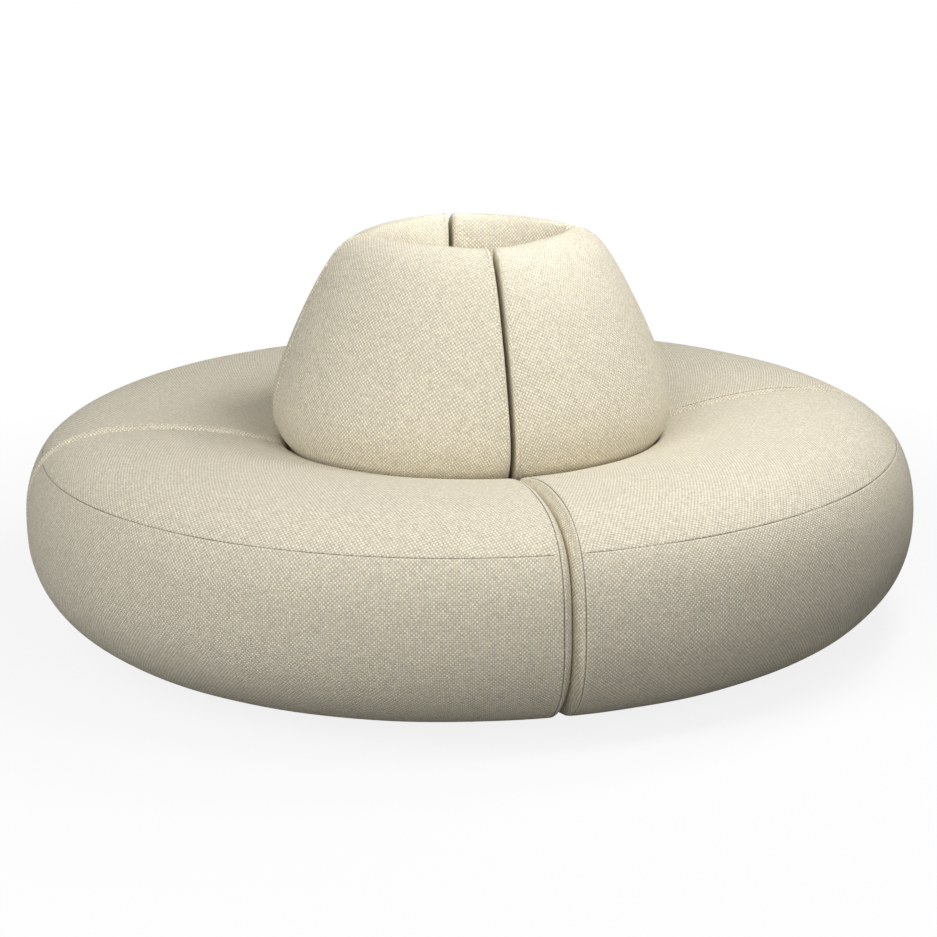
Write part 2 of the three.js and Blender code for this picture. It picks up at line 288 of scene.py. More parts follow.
@dataclass
class EndRoll:
    """How a cover ends at a joint: a seam, cloth that rolls over in front of it, and the end face.

    Args:
        seam_setback: distance of the seam from the end face's plane.
        radius: radius of the roll.
        roll_turn: how far the cloth rolls before the end face starts. The end face swells on to its plane
            where that is less than a quarter turn, and is flat otherwise.
        plane: distance of the end face's plane from the joint plane.
        roll_steps: how many rows the roll has.
        swell_steps: how many rows the swelling has.
    """

    seam_setback: float
    radius: float
    roll_turn: float = QUARTER_TURN
    plane: float = 0.15 * MM
    roll_steps: int = 8
    swell_steps: int = 6

    @property
    def rolled(self) -> float:
        """Length of the cloth in the roll."""
        return self.radius * self.roll_turn

    @property
    def slack(self) -> float:
        """How much longer the rolled cloth is than the room that it takes up across the end face."""
        return self.rolled - self.radius * (1 - math.cos(self.roll_turn))

    @property
    def loose(self) -> float:
        """How far past the end seam the foam may move the cloth."""
        return self.rolled if self.roll_turn < QUARTER_TURN else self.rolled - HAIR

    def rows(self) -> list[Row]:
        """Lays out the end.

        Returns:
            The rows from the end face's inner edge to just before the seam.
        """
        seam = self.plane + self.seam_setback
        rolled = []
        for i in range(self.roll_steps):
            turn = self.roll_turn * (1 - i / self.roll_steps)
            inset = self.radius * (1 - math.cos(turn))
            rolled.append(Row(seam - self.radius * math.sin(turn), inset, 0, self.radius * turn))
        if self.roll_turn >= QUARTER_TURN:
            return rolled
        edge = rolled[0]
        stand_off = edge.offset - self.plane
        width = 2 * stand_off * math.tan(self.roll_turn)
        swelling = []
        for i in range(self.swell_steps):
            share = 1 - i / self.swell_steps
            offset = self.plane + stand_off * (1 - share) ** 2
            swelling.append(Row(offset, edge.inset + width * share, 0, edge.beyond + width * share))
        return swelling + rolled


@dataclass
class Seams:
    """How the seams are sewn.

    Args:
        depth: how deep the cloth is drawn in at a seam.
        width: half the width of the fold.
        shade: how dark the painted shade in the seam's folded cloth is, from 0 to 1.
        stitch_length: length of a stitch.
        stitch_pitch: distance from one stitch to the next.
        thread_radius: radius of the thread.
    """

    depth: float = 2.2 * MM
    width: float = 1.6 * MM
    shade: float = 1.0
    stitch_length: float = 5.0 * MM
    stitch_pitch: float = 7.0 * MM
    thread_radius: float = 0.4 * MM


class Cover:
    """A closed cloth cover as a grid of rows round a section, swept from one joint plane to the other.

    The last two points of the section are its hidden corners, inside the module.
    """

    def __init__(
        self,
        outline: Outline,
        along: np.ndarray,
        rows: list[Row],
        crown: float = 0,
        mould: Mould | None = None,
    ) -> None:
        """Lays out the grid.

        Args:
            outline: the section.
            along: the distance along the section at each of its points.
            rows: the rows in order, with the middle ones between the two ends.
            crown: how much thinner the cushion is at its ends than in its middle.
            mould: what bends the grid into its shape in plan.
        """
        self.outline = outline
        self.along = along
        self.rows = rows
        self.share = np.array([row.share for row in rows])
        self.beyond = np.array([row.beyond for row in rows])
        self.inside = np.flatnonzero(self.beyond <= 0)
        insets = [row.inset + crown * (1 - math.sin(math.pi * row.share)) for row in rows]
        radius, height = np.moveaxis(np.stack([outline.drawn_in(inset) for inset in insets]), -1, 0)
        offset = np.array([row.offset for row in rows])[:, None]
        if mould is not None:
            radius = mould(radius, height, self._turn(radius, offset))
        self.turn = self._turn(radius, offset)
        self.points = np.stack([radius * np.cos(self.turn), radius * np.sin(self.turn), height], axis=-1)
        sweep = (QUARTER_TURN - 2 * np.arcsin(offset / radius)) * radius
        within = np.minimum(self.share, 1 - self.share)[:, None] * sweep
        self.from_end_seam = np.where(self.beyond[:, None] > 0, -self.beyond[:, None], within)
        self.shade = np.zeros(self.turn.shape)
        self.panels = np.full(self.turn.shape, Panel.END.value)
        self.flat: dict[Panel, np.ndarray] = {}
        self.lines: list[np.ndarray] = []

    def _turn(self, radius: np.ndarray, offset: np.ndarray) -> np.ndarray:
        """The turn of each point round the axis, a row keeping its distance from the nearer joint plane."""
        first = np.arcsin(offset / radius)
        return first + (QUARTER_TURN - 2 * first) * self.share[:, None]

    def normals(self) -> np.ndarray:
        """Works out which way the cloth faces.

        Returns:
            The outward unit normal at each point.
        """
        down_rows = np.gradient(self.points, axis=0)
        round_section = np.roll(self.points, -1, axis=1) - np.roll(self.points, 1, axis=1)
        outward = np.cross(down_rows, round_section)
        return outward / np.maximum(np.linalg.norm(outward, axis=-1, keepdims=True), 1e-12)

    def push(self, amount: np.ndarray) -> None:
        """Moves every point outwards by its own amount."""
        self.points = self.points + self.normals() * amount[..., None]

    def sew(self, distance: np.ndarray, seams: Seams, fade: np.ndarray | float = 1.0) -> None:
        """Draws the cloth in along a seam and marks the painted shade in its folded cloth.

        Args:
            distance: each point's distance from the seam.
            seams: how the seam is sewn.
            fade: how much of the fold each point gets.
        """
        fold_and_painted_shade = np.exp(-((distance / seams.width) ** 2)) * fade
        self.push(-seams.depth * fold_and_painted_shade)
        # Painted shade: how dark the cloth is painted along the seam
        self.shade = np.maximum(self.shade, fold_and_painted_shade * seams.shade)

    def cut(self, by_column: np.ndarray) -> None:
        """Cuts the cover into panels, numbered round the section, and an end panel at either end."""
        self.panels[self.inside[:-1]] = by_column

    def ends_laid_flat(self, end: EndRoll) -> np.ndarray:
        """Where each point lies on the flat cloth of the end panels, in the end face's radius and height."""
        return np.stack([self.outline.drawn_in(row.beyond - end.slack) for row in self.rows])

    def unrolled(self, radius: float) -> np.ndarray:
        """Where each point lies on the flat cloth of a panel that stands upright at one radius."""
        return np.stack([self.turn * radius, np.broadcast_to(self.along, self.turn.shape)], axis=-1)

    def fanned(self, radius: float, place: float, bend: float) -> np.ndarray:
        """Where each point lies on the flat cloth of a panel that is cut as a part of a flat ring.

        Args:
            radius: the radius of the cover at one place along its section.
            place: that place.
            bend: how much of its turn round the axis the panel keeps when it is laid flat.

        Returns:
            The flat places.
        """
        reach = radius / bend + place - self.along
        turned = (self.turn - QUARTER_TURN / 2) * bend
        return np.stack([reach * np.sin(turned), reach * np.cos(turned)], axis=-1)

    def end_lines(self) -> list[np.ndarray]:
        """The two end seams, as far as they show."""
        return [self.points[row, :-3] for row in self.inside[[0, -1]]]

    def mesh(self, name: str) -> Mesh:
        """Makes the cover's mesh, with the flat places of its panels and the painted shade of its seams.

        Args:
            name: the mesh's name.

        Returns:
            The mesh.
        """
        mesh = skin(name, self.points)
        corners = np.zeros(len(mesh.loops), np.int32)
        mesh.loops.foreach_get("vertex_index", corners)
        panels = np.full(len(corners), Panel.END.value)
        cell_panels = np.repeat(self.panels[:-1], 4)
        panels[: len(cell_panels)] = cell_panels
        uv = np.zeros((len(corners), 2), np.float32)
        for panel, places in self.flat.items():
            chosen = panels == panel.value
            uv[chosen] = places.reshape(-1, 2)[corners[chosen]]
        mesh.uv_layers.new(name=CLOTH_COORDINATES).data.foreach_set("uv", uv.ravel())
        shade = mesh.attributes.new(SEAM_SHADE, "FLOAT", "POINT")
        shade.data.foreach_set("value", self.shade.astype(np.float32).ravel())
        return mesh


@dataclass
class Stuffing:
    """How a cover is blown up by its foam: a cloth simulation on a thinned grid, whose result is capped.

    Args:
        start_inset: how much smaller than the finished cover the simulation starts between its seams.
        cap: how far a point may swell from there.
        spacing: spacing of the simulated grid.
        pressure: pressure inside the cover.
        foam_hold: how firmly the foam keeps the cloth in place between the seams, from 0 to 1.
        foam_stiffness: stiffness of the foam behind the cloth.
        mass: mass of each point of the cloth, in kilograms.
        frames: how many frames it runs.
    """

    start_inset: float = 3.0 * MM
    cap: float = 7.0 * MM
    spacing: float = 16.0 * MM
    pressure: float = 60.0
    foam_hold: float = 0.3
    foam_stiffness: float = 7.0
    mass: float = 0.4
    frames: int = 20

    def swell(self, cover: Cover, seams: Sequence[float], held: np.ndarray) -> np.ndarray:
        """Simulates the cover and says how far each of its points swells.

        Args:
            cover: the cover.
            seams: where its seams lie along its section.
            held: True where the cloth is sewn or stapled down.

        Returns:
            How far each point of the cover moves outwards.
        """
        step = np.linalg.norm(np.diff(cover.points, axis=0), axis=-1).max(axis=1)
        row_places = np.concatenate([[0.0], np.cumsum(step)])
        picked_rows = thinned(row_places, self.spacing, row_places[cover.inside[[0, -1]]])
        picked_columns = thinned(cover.along, self.spacing, seams)
        picked = np.ix_(picked_rows, picked_columns)
        outward = cover.normals()[picked]
        inset = np.where(held[picked], 0.0, self.start_inset)
        start = cover.points[picked] - outward * inset[..., None]
        moved = self._simulate(start, held[picked])
        swelling = np.sum((moved - start) * outward, axis=-1)
        change = self.cap * np.tanh(swelling / self.cap) - inset
        columns = np.arange(len(cover.along))
        by_column = np.stack([np.interp(columns, picked_columns, line) for line in change])
        rows = np.arange(len(row_places))
        return np.stack([np.interp(rows, picked_rows, line) for line in by_column.T], axis=1)

    def _simulate(self, grid: np.ndarray, held: np.ndarray) -> np.ndarray:
        """Runs the cloth simulation.

        Args:
            grid: the points of the thinned grid.
            held: True for the points that don't move.

        Returns:
            The points at the end.
        """
        mesh = skin("cloth_trial", grid)
        trial = new_object("cloth_trial", mesh)
        pins = trial.vertex_groups.new(name="held")
        pins.add(np.flatnonzero(held).tolist(), 1.0, "REPLACE")
        pins.add(np.flatnonzero(~held).tolist(), self.foam_hold, "REPLACE")
        cloth = trial.modifiers.new("stuffing", "CLOTH")
        cloth.settings.quality = 6
        cloth.settings.mass = self.mass
        cloth.settings.tension_stiffness = 20
        cloth.settings.compression_stiffness = 12
        cloth.settings.shear_stiffness = 8
        cloth.settings.bending_stiffness = 2
        cloth.settings.use_pressure = True
        cloth.settings.uniform_pressure_force = self.pressure
        cloth.settings.effector_weights.gravity = 0
        cloth.settings.vertex_group_mass = pins.name
        cloth.settings.pin_stiffness = self.foam_stiffness
        cloth.point_cache.frame_start = 1
        cloth.point_cache.frame_end = self.frames
        for number in range(1, self.frames + 1):
            bpy.context.scene.frame_set(number)
        evaluated = trial.evaluated_get(bpy.context.evaluated_depsgraph_get()).to_mesh()
        moved = np.zeros(grid.size, np.float32)
        evaluated.vertices.foreach_get("co", moved)
        bpy.data.objects.remove(trial)
        bpy.data.meshes.remove(mesh)
        bpy.context.scene.frame_set(1)
        return moved.reshape(grid.shape).astype(float)


def cut_away(mesh: Mesh, hollow: Mesh) -> Mesh:
    """Cuts one closed mesh from another.

    Args:
        mesh: the mesh that stays.
        hollow: the shape of what is cut away. Both are used up.

    Returns:
        The mesh that is left.
    """
    whole = new_object("whole", mesh)
    cutter = new_object("cutter", hollow)
    cut = whole.modifiers.new("hollow", "BOOLEAN")
    cut.operation = "DIFFERENCE"
    cut.solver = "MANIFOLD"
    cut.object = cutter
    bpy.context.view_layer.update()
    evaluated = whole.evaluated_get(bpy.context.evaluated_depsgraph_get())
    left = bpy.data.meshes.new_from_object(evaluated)
    for part, used in ((whole, mesh), (cutter, hollow)):
        bpy.data.objects.remove(part)
        bpy.data.meshes.remove(used)
    return left


def stitches(lines: Sequence[np.ndarray], seams: Seams, name: str) -> Mesh:
    """Rows of stitches along seams.

    Args:
        lines: the seams as lines of points.
        seams: how they are sewn.
        name: the mesh's name.

    Returns:
        One mesh of short rounded threads.
    """
    sides = 6
    turns = -np.arange(sides)[:, None] * 2 * math.pi / sides
    places = np.array([-0.5, -0.36, 0.0, 0.36, 0.5]) * seams.stitch_length
    fatness = np.array([0.35, 0.85, 1.0, 0.85, 0.35])[:, None, None]
    # No seam runs in this direction, so it gives each thread a plane for its rings
    slanting = (0.31, 0.22, 0.92)
    threads = []
    for line in lines:
        middles = np.arange(seams.stitch_pitch / 2, lengths_along(line)[-1], seams.stitch_pitch)
        spines = points_at(line, middles[:, None] + places)
        along = spines[:, -1:] - spines[:, :1]
        along /= np.linalg.norm(along, axis=-1, keepdims=True)
        across = np.cross(along, slanting)
        across /= np.linalg.norm(across, axis=-1, keepdims=True)
        rings = np.cos(turns) * across + np.sin(turns) * np.cross(along, across)
        threads.append(spines[:, :, None] + rings[:, None] * fatness * seams.thread_radius)
    return skin(name, np.concatenate(threads))


def placed(mesh: Mesh, name: str, place: Place) -> Object:
    """Makes an object of a mesh drawn for the rear right module, turned to where its module stands.

    Args:
        mesh: the mesh, which is used up.
        name: the object's name.
        place: the module.

    Returns:
        The object, riding on the module's body.
    """
    mesh.transform(Matrix.Rotation(place.value * QUARTER_TURN, 4, "Z"))
    mesh.polygons.foreach_set("use_smooth", [True] * len(mesh.polygons))
    mesh.set_sharp_from_angle(angle=SHARP_BEND)
    mesh.name = name
    piece = new_object(name, mesh)
    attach(piece, place.label)
    return piece


def dress(piece: Object, material: Material) -> None:
    """Gives a piece one material."""
    piece.data.materials.clear()
    piece.data.materials.append(material)


def drift(points: np.ndarray, seed: int, size: float, height: float) -> np.ndarray:
    """A gentle unevenness, the sum of a few long waves in seeded directions.

    Args:
        points: where it is wanted.
        seed: which unevenness.
        size: length of its waves.
        height: how high they are.

    Returns:
        The unevenness at each point.
    """
    chance = np.random.default_rng(seed)
    total = np.zeros(points.shape[:-1])
    count = 7
    for _ in range(count):
        direction = chance.normal(size=3)
        direction /= np.linalg.norm(direction)
        wave = 2 * math.pi / (size * chance.uniform(0.7, 1.6))
        total += np.sin(points @ direction * wave + chance.uniform(0, 2 * math.pi))
    return total * height / math.sqrt(count)


@dataclass
class Upholstery:
    """What the seat and the back have in common: foam in a cover, and room in it for the frame.

    Args:
        crown: how much thinner the cushion is at its ends.
        spacing: spacing of the cover's grid.
        end: how the cover ends at the joints.
        seams: how it is sewn.
        stuffing: how it is blown up.
        hidden_places: about how far past the shown part the section's two hidden corners lie.
        stapled_foot: how far up from its foot the cover is stapled to the frame.
        room_offset: distance of the room for the frame from the joint planes.
        room_facets: how many facets that room has along the sweep.
        room_gap: the gap left round the frame.
        past: how far the room is cut past the cover's hidden faces.
    """

    crown: float = 3 * MM
    spacing: float = 9.5 * MM
    end: EndRoll = field(default_factory=lambda: EndRoll(20 * MM, 11 * MM, math.radians(55)))
    seams: Seams = field(default_factory=Seams)
    stuffing: Stuffing = field(default_factory=Stuffing)
    hidden_places: Point = (0.2, 0.6)
    stapled_foot: float = 60 * MM
    room_offset: float = 24.15 * MM
    room_facets: int = 12
    room_gap: float = 0.3 * MM
    past: float = 20 * MM

    def build(self) -> Cover:
        """Builds the cover for the rear right module."""
        raise NotImplementedError

    def room(self) -> list[Point]:
        """The section of the room for the frame, counterclockwise in radius and height."""
        raise NotImplementedError

    def hollow(self) -> Mesh:
        """Sweeps the room for the frame through the module.

        Returns:
            The closed shape to cut away.
        """
        outline = Outline(np.array(self.room()))
        facets = self.room_facets
        rows = [Row(self.room_offset, 0, i / facets, 0) for i in range(facets + 1)]
        return skin("hollow", Cover(outline, lengths_along(outline.points), rows).points)

    def lay_out(
        self,
        curve: np.ndarray,
        seams: Sequence[float],
        hidden: Sequence[Point],
        reach: float,
        mould: Mould | None = None,
    ) -> Cover:
        """Lays out the cover's grid, from its left end face to its right one.

        Args:
            curve: the part of the section that shows.
            seams: where its seams lie.
            hidden: the section's two hidden corners.
            reach: radius of the longest line round the cover.
            mould: what bends the grid into its shape in plan.

        Returns:
            The cover, as it is drawn.
        """
        places = spaced(lengths_along(curve)[-1], self.spacing, seams)
        outline = Outline(np.concatenate([points_at(curve, places), hidden]))
        along = np.concatenate([places, places[-1] + np.array(self.hidden_places)])
        left = self.end.rows()
        right = [Row(row.offset, row.inset, 1, row.beyond) for row in reversed(left)]
        seam = self.end.plane + self.end.seam_setback
        sweep = QUARTER_TURN * reach
        middle = [Row(seam, 0, place / sweep, 0) for place in spaced(sweep, self.spacing, (0.0, sweep))]
        return Cover(outline, along, left + middle + right, self.crown, mould)

    def fill(self, cover: Cover, seams: Sequence[float], sewn: np.ndarray, wall: float) -> None:
        """Blows the cover up and sews its end seams.

        Args:
            cover: the cover.
            seams: the places along its section that the simulation has to follow.
            sewn: True where the cloth is held by a seam other than the end seams.
            wall: the place along the section past which the cloth is fixed to the frame.
        """
        held = sewn | (np.abs(cover.from_end_seam) < HELD_BY_SEAM)
        held |= cover.beyond[:, None] > self.end.loose
        held |= (cover.along < self.stapled_foot) | (cover.along > wall)
        cover.push(self.stuffing.swell(cover, seams, held))
        cover.sew(cover.from_end_seam, self.seams)


@dataclass
class SeatUpholstery(Upholstery):
    """The seat's foam and cover: a quarter of a fat ring, sewn from a top, a side and two end panels.

    Args:
        outer_radius: radius of the ring.
        crest_radius: radius of the seat's highest line.
        nose_radius: radius of the highest line of the nose that tucks in under the back.
        nose_height: height of that line.
        nose_round: radius of the nose.
        nose_slope: how steeply the seat falls to the nose.
        crest_share: how much of the way to the nose the top stays level.
        nose_share: how much of the way back it keeps the nose's slope.
        underside: height of the lowest point.
        crest_height: height of the seat.
        foot_fullness: squareness of the outer lower quarter of the section.
        top_fullness: squareness of its outer upper quarter.
        seam_height: height of the seam between the side and the top.
        side_seam_stop: how far short of the end seams that seam stops.
        side_seam_fade: half the length over which it fades there.
        stapled_nose: how far back from the deck the cover is stapled under the nose.
        laid_share: how much of its bend the top keeps when it is laid flat, as the stretchy cloth is cut.
        frame_radius: inner radius of the frame.
        base_radius: outer radius of the base.
        base_top: height where the ribs slant out from the base.
        rib_radius: outer radius of the ribs.
        rib_low: height where they reach it.
        rib_high: height where they slant back in.
        deck_radius: outer radius of the deck.
        deck_height: height of the deck that the seat's inner edge meets.
    """

    outer_radius: float = 950 * MM
    crest_radius: float = 694 * MM
    nose_radius: float = 424 * MM
    nose_height: float = 405 * MM
    nose_round: float = 42 * MM
    nose_slope: float = math.radians(18)
    crest_share: float = 0.27
    nose_share: float = 0.3
    underside: float = 13 * MM
    crest_height: float = 450 * MM
    foot_fullness: float = 2.15
    top_fullness: float = 3.0
    seam_height: float = 390 * MM
    side_seam_stop: float = 6 * MM
    side_seam_fade: float = 2 * MM
    stapled_nose: float = 110 * MM
    laid_share: float = 0.5
    frame_radius: float = 236 * MM
    base_radius: float = 735 * MM
    base_top: float = 32.8 * MM
    rib_radius: float = 850 * MM
    rib_low: float = 130 * MM
    rib_high: float = 290 * MM
    deck_radius: float = 800 * MM
    deck_height: float = 360 * MM

    def shown_curve(self) -> np.ndarray:
        """Draws the part of the section that shows.

        Returns:
            Its points from the ring's foot over the crest to the deck.
        """
        half = (self.crest_height - self.underside) / 2
        centre = (self.crest_radius, self.underside + half)
        outer = (self.outer_radius - self.crest_radius, half)
        run = self.crest_radius - self.nose_radius
        cosine = math.cos(self.nose_slope)
        sine = math.sin(self.nose_slope)
        back = run * self.nose_share
        slope = bezier([
            (self.crest_radius, self.crest_height),
            (self.crest_radius - run * self.crest_share, self.crest_height),
            (self.nose_radius + back * cosine, self.nose_height + back * sine),
            (self.nose_radius, self.nose_height),
        ])
        nose_centre = (
            self.nose_radius + self.nose_round * sine,
            self.nose_height - self.nose_round * cosine,
        )
        on_deck = math.pi - math.asin((self.deck_height - nose_centre[1]) / self.nose_round)
        halves = (self.nose_round, self.nose_round)
        nose = full_curve(nose_centre, halves, 2, QUARTER_TURN + self.nose_slope, on_deck, 24)
        foot = full_curve(centre, outer, self.foot_fullness, -QUARTER_TURN, 0)
        shoulder = full_curve(centre, outer, self.top_fullness, 0, QUARTER_TURN)
        return np.concatenate([foot, shoulder[1:], slope[1:], nose[1:]])

    def build(self) -> Cover:
        """Builds the cover for the rear right module.

        Returns:
            The finished cover.
        """
        curve = self.shown_curve()
        lengths = lengths_along(curve)
        seam = lengths[np.argmin(np.abs(curve[:, 1] - self.seam_height) + (curve[:, 0] < self.crest_radius))]
        hidden = [(self.frame_radius, self.deck_height), (self.frame_radius, self.underside)]
        cover = self.lay_out(curve, (seam,), hidden, self.outer_radius)
        from_seam = cover.along - seam
        running = cover.from_end_seam - self.side_seam_stop
        sewn = (np.abs(from_seam) < HAIR) & (running > 0)
        self.fill(cover, (seam,), sewn, lengths[-1] - self.stapled_nose)
        cover.sew(from_seam, self.seams, smooth_step(running, -self.side_seam_fade, self.side_seam_fade))
        cover.cut(np.where(from_seam < -HAIR, Panel.SIDE.value, Panel.TOP.value))
        cover.flat = {
            Panel.END: cover.ends_laid_flat(self.end),
            Panel.SIDE: cover.unrolled(self.outer_radius),
            Panel.TOP: cover.fanned(self.crest_radius, lengths[np.argmax(curve[:, 1])], self.laid_share),
        }
        seam_column = int(np.argmin(np.abs(from_seam)))
        side_seam = cover.points[running[:, seam_column] > 0, seam_column]
        cover.lines = [side_seam, *cover.end_lines()]
        return cover

    def room(self) -> list[Point]:
        """Draws the room for the frame.

        Returns:
            Its section, under the deck, inside the ribs and down to the base's edge.
        """
        inner = self.frame_radius - self.past
        foot = self.underside - self.past
        base = self.base_radius + self.room_gap
        rib = self.rib_radius + self.room_gap
        top = self.deck_height + self.room_gap
        return [
            (inner, foot),
            (base, foot),
            (base, self.base_top),
            (rib, self.rib_low),
            (rib, self.rib_high),
            (self.deck_radius + self.room_gap, top),
            (inner, top),
        ]


@dataclass
class BackUpholstery(Upholstery):
    """The back's foam and cover: a rolled foot, a sloping flank, a round rim and a wall round the well.

    Args:
        rest_radius: radius where the foot leaves the deck.
        widest_radius: radius of the widest line.
        widest_height: height of the widest line.
        low_share: how much of the flank's height it rises upright for.
        high_run_share: how far out the handle below the shoulder stands, as a share of the flank's run.
        high_rise_share: how far down it stands, as a share of the flank's height.
        shoulder_radius: radius where the flank turns over.
        shoulder_height: height there.
        height: height of the back.
        rim_round: how far the rim's inner edge rounds off sideways.
        rim_drop: how far down the wall it rounds off.
        corner_radius: radius of the well at the joints.
        middle_radius: radius of the well between them.
        wall_foot: height of the wall's lower edge.
        deck_height: height of the deck, with the gap over it.
        wall_outer: radius of the wall's hidden face.
        lean: how fast the flank leans into the well's shape as it rises.
        panel_inner: inner radius of the bent back panel.
        panel_outer: its outer radius.
        panel_top: its height.
    """

    spacing: float = 9.0 * MM
    end: EndRoll = field(default_factory=lambda: EndRoll(13.6 * MM, 8.4 * MM))
    # The back's seams are shallower, with lighter painted shade along them
    seams: Seams = field(default_factory=lambda: Seams(depth=0.8 * MM, shade=0.4, thread_radius=0.25 * MM))
    hidden_places: Point = (0.1, 0.5)
    stapled_foot: float = 110 * MM
    rest_radius: float = 330 * MM
    widest_radius: float = 430 * MM
    widest_height: float = 466 * MM
    low_share: float = 0.193
    high_run_share: float = 0.342
    high_rise_share: float = 0.128
    shoulder_radius: float = 278 * MM
    shoulder_height: float = 815 * MM
    height: float = 838 * MM
    rim_round: float = 16 * MM
    rim_drop: float = 60 * MM
    corner_radius: float = 205 * MM
    middle_radius: float = 174 * MM
    wall_foot: float = 16 * MM
    deck_height: float = 360.3 * MM
    wall_outer: float = 235.2 * MM
    lean: float = 1.5
    panel_inner: float = 242 * MM
    panel_outer: float = 257 * MM
    panel_top: float = 760 * MM

    def flank_curve(self) -> np.ndarray:
        """Draws the section's outer part.

        Returns:
            Its points from the foot on the deck up to the start of the rim's inner edge.
        """
        shoulder = (self.shoulder_radius, self.shoulder_height)
        rise = self.shoulder_height - self.widest_height
        run = self.widest_radius - self.shoulder_radius
        handle_run = run * self.high_run_share
        handle_rise = rise * self.high_rise_share
        crest_run = (self.height - self.shoulder_height) * handle_run / handle_rise
        foot_centre = (self.rest_radius, self.widest_height)
        foot_halves = (self.widest_radius - self.rest_radius, self.widest_height - self.deck_height)
        foot = full_curve(foot_centre, foot_halves, 2, -QUARTER_TURN, 0)
        flank = bezier([
            (self.widest_radius, self.widest_height),
            (self.widest_radius, self.widest_height + rise * self.low_share),
            (shoulder[0] + handle_run, shoulder[1] - handle_rise),
            shoulder,
        ])
        rim_inner = self.corner_radius + self.rim_round
        crest = bezier([shoulder, (shoulder[0] - crest_run, self.height), (rim_inner, self.height)])
        return np.concatenate([foot, flank[1:], crest[1:]])

    def wall_curve(self) -> np.ndarray:
        """Draws the section's inner part.

        Returns:
            Its points from the rim's inner edge down the wall of the well.
        """
        centre = (self.corner_radius + self.rim_round, self.height - self.rim_drop)
        rim = full_curve(centre, (self.rim_round, self.rim_drop), 2, QUARTER_TURN, math.pi, 24)
        return np.concatenate([rim, [(self.corner_radius, self.wall_foot)]])

    def flattening(self, turn: np.ndarray) -> np.ndarray:
        """Bends the wall of the well into one shallow arc in plan.

        Args:
            turn: the turn of each point round the axis.

        Returns:
            How far each point stands nearer the axis than at the module's ends.
        """
        half_chord = self.corner_radius * math.sqrt(0.5)
        bow = self.middle_radius - half_chord
        arc_radius = (half_chord**2 + bow**2) / (2 * bow)
        arc_centre = arc_radius - self.middle_radius
        from_middle = turn - QUARTER_TURN / 2
        reach = np.sqrt(arc_radius**2 - (arc_centre * np.sin(from_middle)) ** 2)
        return self.corner_radius - (reach - arc_centre * np.cos(from_middle))

    def moulded(self, radius: np.ndarray, height: np.ndarray, turn: np.ndarray) -> np.ndarray:
        """Makes the wall follow the well, and the flank lean into its shape.

        Args:
            radius: the radius at which each point is drawn.
            height: its height.
            turn: its turn round the axis.

        Returns:
            The radius that each point gets.
        """
        on_wall = radius < (self.corner_radius + self.wall_outer) / 2
        rise = np.clip((height - self.widest_height) / (self.height - self.widest_height), 0, None)
        return radius - self.flattening(turn) * np.where(on_wall, 1.0, rise**self.lean)

    def build(self) -> Cover:
        """Builds the cover for the rear right module.

        Returns:
            The finished cover.
        """
        flank = self.flank_curve()
        curve = np.concatenate([flank, self.wall_curve()[1:]])
        lengths = lengths_along(curve)
        rim = lengths[len(flank) - 1]
        hidden = [(self.wall_outer, self.wall_foot), (self.wall_outer, self.deck_height)]
        cover = self.lay_out(curve, (), hidden, self.widest_radius, self.moulded)
        self.fill(cover, (rim,), np.zeros(cover.turn.shape, bool), rim + self.rim_drop)
        cover.cut(np.where(cover.along >= rim, Panel.WALL.value, Panel.FLANK.value))
        run = self.widest_radius - self.shoulder_radius
        slope = math.hypot(run, self.shoulder_height - self.widest_height)
        cover.flat = {
            Panel.END: cover.ends_laid_flat(self.end),
            Panel.FLANK: cover.fanned(self.widest_radius, lengths[np.argmax(flank[:, 0])], run / slope),
            Panel.WALL: cover.unrolled(self.middle_radius),
        }
        cover.lines = cover.end_lines()
        return cover

    def room(self) -> list[Point]:
        """Draws the slot for the bent back panel.

        Returns:
            Its section.
        """
        inner = self.panel_inner - self.room_gap
        outer = self.panel_outer + self.room_gap
        top = self.panel_top + self.room_gap
        foot = self.deck_height - self.past
        return [(inner, foot), (outer, foot), (outer, top), (inner, top)]


def linear(hex_colour: str) -> tuple[float, float, float, float]:
    """Turns an sRGB hex colour to linear.

    Args:
        hex_colour: the colour as "#RRGGBB".

    Returns:
        Linear red, green and blue, and full cover.
    """
    shares = [int(hex_colour[i : i + 2], 16) / 255 for i in (1, 3, 5)]
    values = [share / 12.92 if share <= 0.04045 else ((share + 0.055) / 1.055) ** 2.4 for share in shares]
    return (*values, 1.0)


def add_node(
    tree: NodeTree, kind: str, inputs: dict[str | int, object] | None = None, **settings: object
) -> Node:
    """Adds a shader node with its settings and links.

    Args:
        tree: the material's node tree.
        kind: the node's type, without the words that all of them start with.
        inputs: for each input by name or number, a value, a hex colour, or the output to link. A node
            stands for the first output that it has in use.
        settings: the node's own properties.

    Returns:
        The node.
    """
    node = tree.nodes.new(f"ShaderNode{kind}")
    for name, value in settings.items():
        setattr(node, name, value)
    for key, value in (inputs or {}).items():
        if isinstance(value, Node):
            value = next(output for output in value.outputs if output.enabled)
        if isinstance(value, NodeSocket):
            tree.links.new(value, node.inputs[key])
        else:
            node.inputs[key].default_value = linear(value) if isinstance(value, str) else value
    return node


# Adds a node to one tree: the function above, with its tree filled in
AddNode = Callable[..., Node]


def new_material(name: str) -> tuple[Material, AddNode]:
    """Makes an empty node material.

    Args:
        name: its name.

    Returns:
        The material, and what adds a node to it.
    """
    material = bpy.data.materials.new(name)
    material.use_nodes = True
    material.node_tree.nodes.clear()
    return material, partial(add_node, material.node_tree)


# What a finish draws: its colour, the height of its relief, and what else its shader gets
Pattern = tuple[Node, Node | NodeSocket, dict[str, object]]


